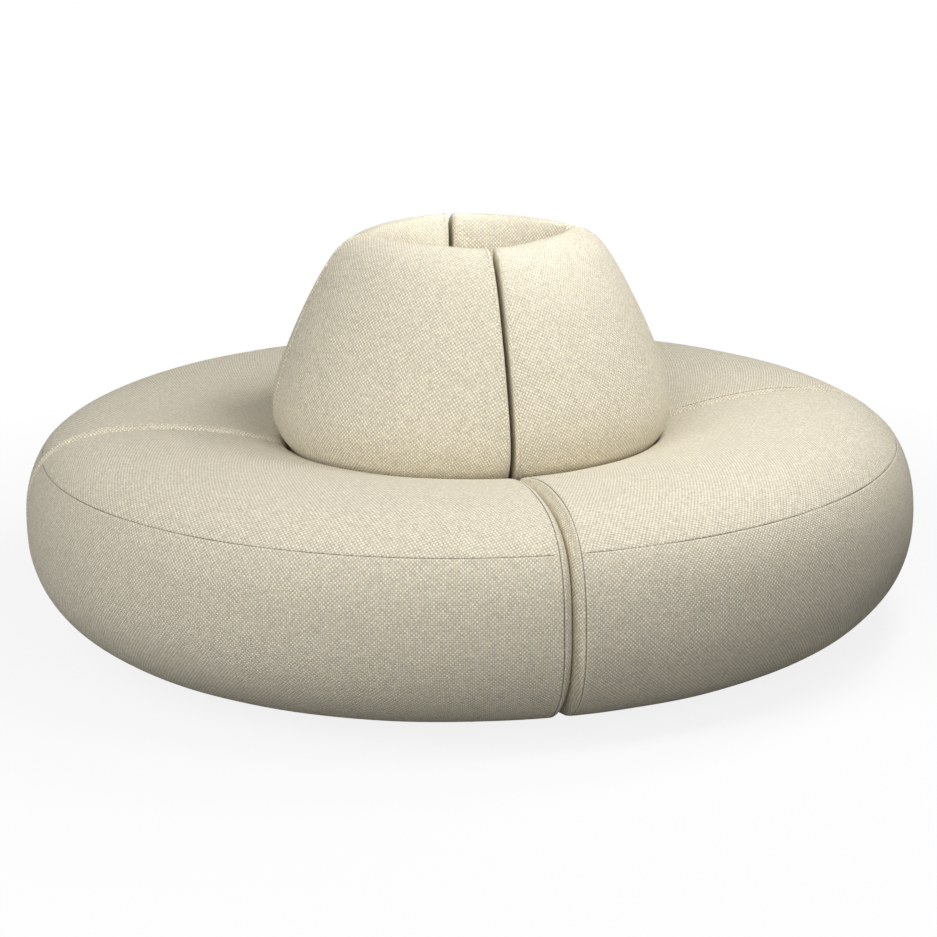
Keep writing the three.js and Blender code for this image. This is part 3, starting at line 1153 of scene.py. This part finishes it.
@dataclass(frozen=True)
class Finish:
    """One finish of the real sofa.

    Args:
        name: the material's name.
        roughness: how rough its surface is.
        relief: depth of its relief.
        bump: how strongly the relief shows.
    """

    name: str
    roughness: float
    relief: float
    bump: float

    def pattern(self, add: AddNode) -> Pattern:
        """Draws the finish's pattern."""
        raise NotImplementedError

    def make(self) -> Material:
        """Builds the material from its pattern.

        Returns:
            The material.
        """
        material, add = new_material(self.name)
        colour, height, looks = self.pattern(add)
        relief = add("Bump", {"Strength": self.bump, "Distance": self.relief, "Height": height})
        inputs = {"Base Color": colour, "Roughness": self.roughness, "Normal": relief, **looks}
        shader = add("BsdfPrincipled", inputs)
        add("OutputMaterial", {"Surface": shader})
        return material


@dataclass(frozen=True)
class WovenHopsack(Finish):
    """Two-tone wool-blend hopsack, woven from thick soft yarns, an ivory warp over a greige weft.

    Each pair of yarns shows as a small block, pale where the warp lies on top and darker where the weft
    does, with fine dark gaps at the corners. The eye reads it as a chequer from near and as a soft mottle
    from afar. The hairy yarn has no gloss, only a faint pale sheen at grazing angles.
    """

    name: str = "woven_two_tone_hopsack"
    roughness: float = 0.92
    relief: float = 0.7 * MM
    bump: float = 0.9
    warp: str = "#F2EBD6"
    weft: str = "#CAC1AC"
    gap: str = "#8E8574"
    # Colour of the painted shade in the seams' folds
    fold_and_painted_shade: str = "#554E40"
    sheen_tint: str = "#FFF9EA"
    sheen: float = 0.2
    block: float = 4.1 * MM
    bend_length: float = 70 * MM
    bend: float = 2.5 * MM
    slub_length: float = 6 * MM
    hair_length: float = 1.1 * MM

    def pattern(self, add: AddNode) -> Pattern:
        """Draws the weave on each panel's flat cloth.

        Args:
            add: what adds a node to the material.

        Returns:
            The pattern.
        """
        cloth = add("UVMap", uv_map=CLOTH_COORDINATES)
        wander = add("TexNoise", {"Vector": cloth, "Scale": 1 / self.bend_length, "Detail": 2.0})
        drifted = add("VectorMath", {
            0: wander.outputs["Color"], 1: (self.bend,) * 3, 2: cloth,
        }, operation="MULTIPLY_ADD")
        kink = add("TexNoise", {"Vector": cloth, "Scale": 1 / (2.2 * self.block), "Detail": 1.0})
        strayed = add("VectorMath", {
            0: kink.outputs["Color"], 1: (0.6 * self.block,) * 3, 2: drifted,
        }, operation="MULTIPLY_ADD")
        axes = add("SeparateXYZ", {"Vector": strayed})
        waves = []
        for axis in ("X", "Y"):
            turns = {0: axes.outputs[axis], 1: math.pi / self.block}
            phase = add("Math", turns, operation="MULTIPLY")
            waves.append(add("Math", {0: phase}, operation="SINE"))
        crossing = add("Math", {0: waves[0], 1: waves[1]}, operation="MULTIPLY")
        over = add("MapRange", {
            "Value": crossing, "From Min": -0.6, "From Max": 0.6,
        }, interpolation_type="SMOOTHSTEP")
        streaks = []
        for stretch in ((1.0, 0.3, 1.0), (0.3, 1.0, 1.0)):
            drawn_out = add("VectorMath", {0: strayed, 1: stretch}, operation="MULTIPLY")
            yarn_size = 1.2 * self.block
            streaks.append(add("TexNoise", {"Vector": drawn_out, "Scale": 1 / yarn_size, "Detail": 2.0}))
        streak = add("Mix", {"Factor": over, "A": streaks[0], "B": streaks[1]})
        slub = add("TexNoise", {
            "Vector": cloth, "Scale": 1 / self.slub_length, "Detail": 4.0, "Roughness": 0.7,
        })
        counted = add("VectorMath", {0: strayed, "Scale": 1 / self.block}, operation="SCALE")
        number = add("VectorMath", {0: counted}, operation="FLOOR")
        chance = add("TexWhiteNoise", {"Vector": number})
        spinning = add("Math", {0: streak, 1: 0.7, 2: slub}, operation="MULTIPLY_ADD")
        dyeing = add("Math", {0: chance, 1: 0.5, 2: spinning}, operation="MULTIPLY_ADD")
        uneven = add("MapRange", {
            "Value": dyeing, "From Min": 0.6, "From Max": 1.6, "To Min": 0.77, "To Max": 1.23,
        })
        bulge = add("Math", {0: waves[0]}, operation="ABSOLUTE")
        rib = add("MapRange", {"Value": bulge, "To Min": 0.86, "To Max": 1.06})
        ribbed = add("Math", {0: uneven, 1: rib}, operation="MULTIPLY")
        yarn = add("Mix", {"Factor": over, "A": self.weft, "B": self.warp}, data_type="RGBA")
        spun = add("VectorMath", {0: yarn, "Scale": ribbed}, operation="SCALE")
        size = add("Math", {0: crossing}, operation="ABSOLUTE")
        raised = add("Math", {0: size, 1: 0.4}, operation="POWER")
        open_gap = add("MapRange", {"Value": raised, "From Max": 0.45, "To Min": 0.35, "To Max": 0.0})
        woven = add("Mix", {"Factor": open_gap, "A": spun, "B": self.gap}, data_type="RGBA")
        # Painted shade: the cloth is darkened towards a dark colour along the seams, as far as the cover
        # marks it
        fold_and_painted_shade = add("Attribute", attribute_name=SEAM_SHADE)
        depth = add("MapRange", {
            "Value": fold_and_painted_shade.outputs["Fac"], "From Min": 0.35, "From Max": 0.95, "To Max": 0.9,
        }, interpolation_type="SMOOTHSTEP")
        colour = add("Mix", {"Factor": depth, "A": woven, "B": self.fold_and_painted_shade}, data_type="RGBA")
        hairs = add("TexNoise", {"Vector": cloth, "Scale": 1 / self.hair_length, "Detail": 3.0})
        hairy = add("Math", {0: hairs, 1: 0.3, 2: raised}, operation="MULTIPLY_ADD")
        lifted = add("Math", {0: over, 1: 0.35, 2: hairy}, operation="MULTIPLY_ADD")
        return colour, lifted, {
            "IOR": 1.5,
            "Specular IOR Level": 0.2,
            "Sheen Weight": self.sheen,
            "Sheen Roughness": 0.5,
            "Sheen Tint": self.sheen_tint,
        }


@dataclass(frozen=True)
class SewingThread(Finish):
    """Bonded polyester sewing thread, twisted from three strands, a fine dark dotted line at the seams.

    Its twist is too fine to show in a picture of the sofa, so it is drawn coarser, as slanting bands that
    are longer than a stitch and shade one stitch from the next.
    """

    name: str = "twisted_polyester_thread"
    roughness: float = 0.55
    relief: float = 0.1 * MM
    bump: float = 0.6
    colour: str = "#968C79"
    shade: str = "#6C6453"
    band_scale: float = 18 * MM

    def pattern(self, add: AddNode) -> Pattern:
        """Draws the twist as slanting bands.

        Args:
            add: what adds a node to the material.

        Returns:
            The pattern.
        """
        place = add("TexCoord").outputs["Object"]
        # The bands repeat along each axis after a fifth of pi times their scale, here about 11 mm
        twist = add("TexWave", {
            "Vector": place, "Scale": 1 / self.band_scale, "Distortion": 1.5,
        }, bands_direction="DIAGONAL").outputs["Fac"]
        colour = add("Mix", {"Factor": twist, "A": self.shade, "B": self.colour}, data_type="RGBA")
        return colour, twist, {"IOR": 1.53}


@dataclass(frozen=True)
class BirchPlywood(Finish):
    """Sanded birch plywood, veneers glued crosswise, with long pale grain and thin bands at its edges."""

    name: str = "sanded_birch_plywood"
    roughness: float = 0.62
    relief: float = 0.2 * MM
    bump: float = 0.3
    pale: str = "#DDC59B"
    brown: str = "#C09B68"
    glue: str = "#8A6740"
    veneer: float = 1.4 * MM
    glue_line: float = 0.3 * MM
    grain_width: float = 7 * MM

    def pattern(self, add: AddNode) -> Pattern:
        """Draws grain along X, and plies wherever the surface isn't level.

        Args:
            add: what adds a node to the material.

        Returns:
            The pattern.
        """
        place = add("TexCoord").outputs["Object"]
        stretched = add("VectorMath", {0: place, 1: (0.06, 1.0, 1.0)}, operation="MULTIPLY")
        grain = add("TexNoise", {
            "Vector": stretched, "Scale": 1 / self.grain_width, "Detail": 6.0, "Roughness": 0.6,
        })
        face = add("Mix", {"Factor": grain, "A": self.pale, "B": self.brown}, data_type="RGBA")
        height = add("SeparateXYZ", {"Vector": place}).outputs["Z"]
        layer = add("Math", {0: height, 1: 2 * self.veneer}, operation="PINGPONG")
        glued = add("MapRange", {"Value": layer, "From Max": self.glue_line, "To Min": 1.0, "To Max": 0.0})
        facing = add("NewGeometry").outputs["Normal"]
        level = add("SeparateXYZ", {"Vector": facing}).outputs["Z"]
        upright = add("Math", {0: level}, operation="ABSOLUTE")
        edge = add("MapRange", {
            "Value": upright, "From Min": 0.3, "From Max": 0.7, "To Min": 1.0, "To Max": 0.0,
        })
        banded = add("Math", {0: glued, 1: edge}, operation="MULTIPLY")
        colour = add("Mix", {"Factor": banded, "A": face, "B": self.glue}, data_type="RGBA")
        return colour, grain, {"IOR": 1.5}


@dataclass(frozen=True)
class NonWovenCloth(Finish):
    """Black spun-bonded polypropylene, embossed with a grid of points. A dull black with tiny shiny dots."""

    name: str = "spun_bonded_dust_cloth"
    roughness: float = 0.85
    relief: float = 0.2 * MM
    bump: float = 0.7
    pale: str = "#37373A"
    dark: str = "#1D1D1F"
    fibre_length: float = 4 * MM
    emboss_pitch: float = 3 * MM

    def pattern(self, add: AddNode) -> Pattern:
        """Draws matted fibres and embossed points.

        Args:
            add: what adds a node to the material.

        Returns:
            The pattern.
        """
        place = add("TexCoord").outputs["Object"]
        fibres = add("TexNoise", {
            "Vector": place, "Scale": 1 / self.fibre_length, "Detail": 5.0, "Distortion": 2.0,
        })
        points = add("TexVoronoi", {"Vector": place, "Scale": 1 / self.emboss_pitch, "Randomness": 0.0})
        dent = add("MapRange", {"Value": points, "From Min": 0.15, "From Max": 0.35})
        colour = add("Mix", {"Factor": fibres, "A": self.dark, "B": self.pale}, data_type="RGBA")
        return colour, dent, {"IOR": 1.49}


@dataclass(frozen=True)
class MouldedNylon(Finish):
    """Black nylon, moulded in a spark-eroded tool. A soft satin with a fine even grain and scuffed edges."""

    name: str = "moulded_black_nylon"
    roughness: float = 0.45
    relief: float = 0.05 * MM
    bump: float = 0.5
    base: str = "#232324"
    scuffed: str = "#4A4A4B"
    scuff_size: float = 12 * MM
    grain: float = 0.8 * MM

    def pattern(self, add: AddNode) -> Pattern:
        """Draws the moulded grain and the scuffs.

        Args:
            add: what adds a node to the material.

        Returns:
            The pattern.
        """
        place = add("TexCoord").outputs["Object"]
        scuffs = add("TexNoise", {
            "Vector": place, "Scale": 1 / self.scuff_size, "Detail": 6.0, "Roughness": 0.7,
        })
        worn = add("MapRange", {"Value": scuffs, "From Min": 0.55, "From Max": 0.8})
        grain = add("TexNoise", {"Vector": place, "Scale": 1 / self.grain, "Detail": 2.0})
        colour = add("Mix", {"Factor": worn, "A": self.base, "B": self.scuffed}, data_type="RGBA")
        return colour, grain, {"IOR": 1.53}


@dataclass(frozen=True)
class ZincPlatedSteel(Finish):
    """Pressed steel sheet, bright zinc plated and passivated. Silvery with faint blue and yellow clouds."""

    name: str = "zinc_plated_steel"
    roughness: float = 0.34
    relief: float = 0.05 * MM
    bump: float = 0.2
    silver: str = "#C3C7CA"
    cloud: str = "#B5B8A9"
    cloud_size: float = 25 * MM
    mark_width: float = 1.2 * MM

    def pattern(self, add: AddNode) -> Pattern:
        """Draws the clouded passivation and the rolling marks.

        Args:
            add: what adds a node to the material.

        Returns:
            The pattern.
        """
        place = add("TexCoord").outputs["Object"]
        clouds = add("TexNoise", {"Vector": place, "Scale": 1 / self.cloud_size, "Detail": 3.0})
        colour = add("Mix", {"Factor": clouds, "A": self.silver, "B": self.cloud}, data_type="RGBA")
        drawn_out = add("VectorMath", {0: place, 1: (0.03, 1.0, 1.0)}, operation="MULTIPLY")
        rolled = add("TexNoise", {"Vector": drawn_out, "Scale": 1 / self.mark_width, "Detail": 3.0})
        matt = add("MapRange", {
            "Value": rolled, "To Min": self.roughness - 0.1, "To Max": self.roughness + 0.12,
        })
        return colour, rolled, {"Metallic": 1.0, "Roughness": matt}


@dataclass
class Finishes:
    """The materials of the sofa, each made once."""

    cloth: Material = field(default_factory=WovenHopsack().make)
    thread: Material = field(default_factory=SewingThread().make)
    plywood: Material = field(default_factory=BirchPlywood().make)
    dust_cloth: Material = field(default_factory=NonWovenCloth().make)
    nylon: Material = field(default_factory=MouldedNylon().make)
    steel: Material = field(default_factory=ZincPlatedSteel().make)


@dataclass
class SoftPart:
    """One kind of upholstered part, built once and set out in every module.

    Args:
        design: the part's sizes and forms.
        word: what the part is called in its pieces' names.
        fill: how tightly its cover is filled. Not used.
        seed: which slight unevenness its modules get.
        wave_length: length of the unevenness's waves.
        wave_height: how high they are.
        calm: how far from the end seams the unevenness starts.
        full: how far from them it is full.
    """

    design: Upholstery
    word: str
    fill: float
    seed: int
    wave_length: float = 260 * MM
    wave_height: float = 0.5 * MM
    calm: float = 4 * MM
    full: float = 60 * MM

    def __post_init__(self) -> None:
        """Builds the cover."""
        self.cover = self.design.build()
        self.plain = self.cover.points.copy()

    def set_out(self, place: Place, finishes: Finishes) -> None:
        """Makes this part and its stitches for one module.

        Args:
            place: the module.
            finishes: the materials.
        """
        self.cover.points = self.plain.copy()
        free = smooth_step(self.cover.from_end_seam, self.calm, self.full)
        waves = drift(self.plain, self.seed + place.value, self.wave_length, self.wave_height)
        self.cover.push(waves * free)
        mesh = cut_away(self.cover.mesh(f"{self.word}_cover"), self.design.hollow())
        piece = placed(mesh, f"{self.word}_upholstery_{place.label}", place)
        dress(piece, finishes.cloth)
        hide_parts(f"{self.word}_cushion_{place.label}")
        thread = stitches(self.cover.lines, self.design.seams, f"{self.word}_stitches")
        sewn = placed(thread, f"{self.word}_stitches_{place.label}", place)
        dress(sewn, finishes.thread)
        LOGGER.info("%s: %d faces, %d in its stitches", piece.name, len(mesh.polygons), len(thread.polygons))


@dataclass
class ModuleFrame:
    """The frame and fittings of one module, which stay as the CAD has them and get their finishes."""

    place: Place

    def dress(self, finishes: Finishes) -> None:
        """Gives each board, cloth, glide and fitting its material.

        Args:
            finishes: the materials.
        """
        boards = ("base_board", "seat_deck", "back_panel", "left_rib", "middle_rib", "right_rib")
        glides = ("left_glide", "middle_glide", "right_glide", "inner_glide")
        fittings = ("joining_tongue", "joining_receiver")
        for words, material in (
            (boards, finishes.plywood),
            (("dust_cover",), finishes.dust_cloth),
            (glides, finishes.nylon),
            (fittings, finishes.steel),
        ):
            for word in words:
                dress(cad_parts[f"{word}_{self.place.label}"], material)
        LOGGER.info("frame of %s dressed", self.place.label)


def seen_directly(add: AddNode) -> Node:
    """Adds the nodes that tell where a surface is seen straight, in a mirror or through glass.

    Args:
        add: what adds a node to the tree.

    Returns:
        A node that gives 1 there and 0 for the light that falls on the object.
    """
    rays = add("LightPath").outputs
    mirrored = {0: rays["Is Camera Ray"], 1: rays["Is Glossy Ray"]}
    through = {0: add("Math", mirrored, operation="MAXIMUM"), 1: rays["Is Transmission Ray"]}
    return add("Math", through, operation="MAXIMUM")


@dataclass(frozen=True)
class StudioFloor:
    """A plain matt floor. It shows as white but for the sofa's faint shadow, and lights the sofa as a grey.

    Args:
        name: the material's name.
        dark: the darker of the greys that light the sofa.
        pale: the paler one.
        seen: the colour of the floor where it is seen.
        veil: how much of the shadow fades to white under the sofa.
        veil_start: distance from the axis where the shadow starts to fade out.
        veil_end: distance where it is gone.
    """

    name: str = "matt_studio_floor"
    dark: str = "#7E7E7D"
    pale: str = "#848483"
    seen: str = "#F6F6F5"
    veil: float = 0.85
    veil_start: float = 0.9
    veil_end: float = 2.4

    def make(self) -> Material:
        """Builds the material.

        Returns:
            The material.
        """
        material, add = new_material(self.name)
        seen = seen_directly(add)
        mottle = add("TexNoise", {"Scale": 1.5, "Detail": 3.0})
        felt = add("Mix", {"Factor": mottle, "A": self.dark, "B": self.pale}, data_type="RGBA")
        tone = add("Mix", {"Factor": seen, "A": felt, "B": self.seen}, data_type="RGBA")
        matt = add("BsdfDiffuse", {"Color": tone})
        white = add("Emission", {"Color": "#FFFFFF", "Strength": 1.0})
        place = add("TexCoord").outputs["Object"]
        reach = add("VectorMath", {0: place}, operation="LENGTH")
        paling = add("MapRange", {
            "Value": reach, "From Min": self.veil_start, "From Max": self.veil_end, "To Min": self.veil,
        }, interpolation_type="SMOOTHSTEP")
        veil = add("Math", {0: seen, 1: paling}, operation="MULTIPLY")
        mixed = add("MixShader", {0: veil, 1: matt, 2: white})
        add("OutputMaterial", {"Surface": mixed})
        return material


@dataclass
class Studio:
    """The floor, the lights and the camera.

    Args:
        camera_distance: level distance of the camera from the sofa's axis.
        camera_height: height of the camera above the floor.
        camera_turn: how far to the left of the front joint it stands, in degrees.
        look_turn: how far it looks to the right of the direction of the joint plane, in degrees.
        look_down: how far it looks down, in degrees.
        focal_share: focal length as a share of the picture's width.
        shift: sideways shift that brings the sofa to the middle of the picture.
        floor_half: half the side of the floor.
        room_light: strength of the light that comes evenly from all around.
    """

    camera_distance: float = 5.246
    camera_height: float = 1.724
    camera_turn: float = 11.12
    look_turn: float = 14.283
    look_down: float = 15.09
    focal_share: float = 2503.85 / 937
    shift: float = -0.1474
    floor_half: float = 60.0
    room_light: float = 0.12

    def place_camera(self) -> None:
        """Places the camera where the photograph was taken from."""
        data = bpy.data.cameras.new("camera")
        camera = new_object("camera", data)
        turn = math.radians(self.camera_turn)
        look = math.radians(self.look_turn)
        down = math.radians(self.look_down)
        camera.location = (
            -self.camera_distance * math.sin(turn),
            -self.camera_distance * math.cos(turn),
            self.camera_height,
        )
        ahead = math.cos(down)
        aim(camera, Vector((math.sin(look) * ahead, math.cos(look) * ahead, -math.sin(down))))
        data.sensor_width = 36
        data.lens = data.sensor_width * self.focal_share
        data.shift_x = self.shift
        data.clip_end = 200
        bpy.context.scene.camera = camera

    def lay_floor(self) -> None:
        """Lays the floor, a level square."""
        mesh = bpy.data.meshes.new("floor")
        half = self.floor_half
        corners = [(-half, -half, 0), (half, -half, 0), (half, half, 0), (-half, half, 0)]
        mesh.from_pydata(corners, [], [(0, 1, 2, 3)])
        floor = new_object("floor", mesh)
        dress(floor, StudioFloor().make())

    def light(self) -> None:
        """Hangs the soft lamps and sets the room's own light."""
        world = bpy.data.worlds.new("studio")
        world.use_nodes = True
        world.node_tree.nodes.clear()
        add = partial(add_node, world.node_tree)
        room = add("Background", {"Color": "#FFFFFF", "Strength": self.room_light})
        backdrop = add("Background", {"Color": "#FFFFFF", "Strength": 1.0})
        mixed = add("MixShader", {0: seen_directly(add), 1: room, 2: backdrop})
        add("OutputWorld", {"Surface": mixed})
        bpy.context.scene.world = world
        middle = (0, 0, 0.45)
        top = (0, 0, 0.7)
        well = (0, 0.22, 0.74)
        self.hang_lamp("left_softbox", (-4.5, -2.5, 3.5), middle, 2.5, 86)
        self.hang_lamp("high_left_softbox", (-3.2, -2.4, 5.2), middle, 2.0, 47)
        self.hang_lamp("front_softbox", (0.5, -5.5, 3.5), middle, 2.5, 38)
        self.hang_lamp("front_left_softbox", (-2.5, -5.5, 2.2), middle, 2.0, 80)
        self.hang_lamp("near_front_softbox", (0.7, -1.25, 2.1), top, 0.7, 16)
        self.hang_lamp("near_right_softbox", (1.3, 0.0, 2.3), top, 0.7, 20)
        self.hang_lamp("gridded_well_lamp", (0.5, -1.7, 2.9), well, 0.4, 0.42, 15)

    def hang_lamp(
        self,
        name: str,
        location: tuple[float, float, float],
        target: tuple[float, float, float],
        size: float,
        power: float,
        spread: float = 180,
    ) -> None:
        """Hangs one square softbox.

        Args:
            name: its name.
            location: where it hangs.
            target: what it faces.
            size: its side.
            power: its power in watts.
            spread: how wide the grid in front of it lets its light spread, in degrees.
        """
        data = bpy.data.lights.new(name, "AREA")
        data.shape = "SQUARE"
        data.size = size
        data.energy = power
        data.spread = math.radians(spread)
        lamp = new_object(name, data)
        lamp.location = location
        aim(lamp, Vector(target) - Vector(location))

    def set_up(self) -> None:
        """Sets up the whole studio."""
        self.place_camera()
        self.lay_floor()
        self.light()
        bpy.context.scene.view_settings.view_transform = "Standard"


def main() -> None:
    """Builds the studio, the upholstery and the finishes in order."""
    logging.basicConfig(level=logging.INFO, format="%(name)s: %(message)s")
    Studio().set_up()
    finishes = Finishes()
    seat = SoftPart(SeatUpholstery(), "seat", 0.95, 20)
    back = SoftPart(BackUpholstery(), "back", 0.95, 40)
    for place in Place:
        seat.set_out(place, finishes)
        back.set_out(place, finishes)
        ModuleFrame(place).dress(finishes)


if __name__ == "__main__":
    main()
